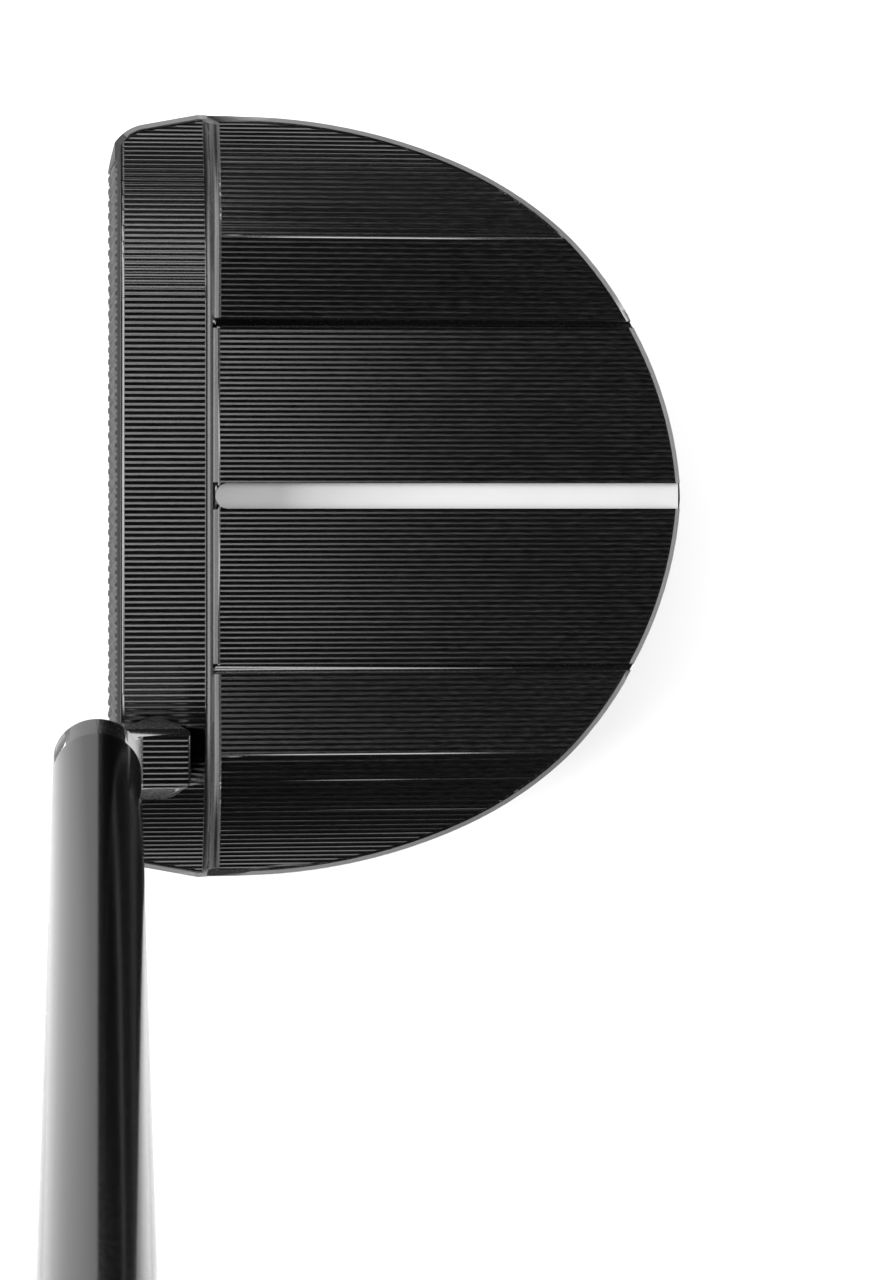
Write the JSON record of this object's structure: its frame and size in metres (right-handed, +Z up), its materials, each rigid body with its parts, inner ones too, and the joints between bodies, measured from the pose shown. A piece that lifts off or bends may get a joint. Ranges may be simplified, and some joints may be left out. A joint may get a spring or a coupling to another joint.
{
  "type": "mallet putter",
  "caption": "Mallet golf putter with a round milled black head, crank neck, stepped steel shaft and pistol grip.",
  "frame": {"origin": "on the ground under the sight line, in the middle of the flat sole", "axes": "+Z up, +X from the face towards the rear of the head, +Y from heel to toe; the shaft leans towards -Y"},
  "size_m": [0.0867, 0.3734, 0.8168],
  "materials": {
    "black_milled": "black anodised, milled lines",
    "white_paint": "satin white paint filling",
    "black_rubber": "matte elastomer",
    "dark_steel": "black coated, finely brushed",
    "screw_steel": "blackened steel",
    "weight_metal": "turned heavy alloy, dark coating",
    "washer_nylon": "matte nylon",
    "black_neck": "satin black coated steel with milled lines",
    "epoxy": "cured adhesive",
    "black_shaft": "satin black coated steel tube",
    "tape": "double-sided paper tape",
    "grip_foam": "closed-cell foam",
    "grip_skin": "matte polyurethane with pressed pattern",
    "grip_trim": "moulded rubber trim"
  },
  "bodies": {
    "root": {"head_body": "black_milled", "sight_line_paint": "white_paint", "damping_pad": "black_rubber", "sole_plate": "dark_steel", "sole_plate_screws": "screw_steel", "toe_weight": "weight_metal", "toe_weight_washer": "washer_nylon", "heel_weight": "weight_metal", "heel_weight_washer": "washer_nylon", "plumber_neck": "black_neck", "neck_bolt": "screw_steel", "shaft_epoxy": "epoxy", "shaft": "black_shaft", "grip_tape": "tape", "grip_underlisting": "grip_foam", "grip_cover": "grip_skin", "grip_mouth_ring": "grip_trim", "grip_cap": "grip_trim"}
  },
  "joints": []
}
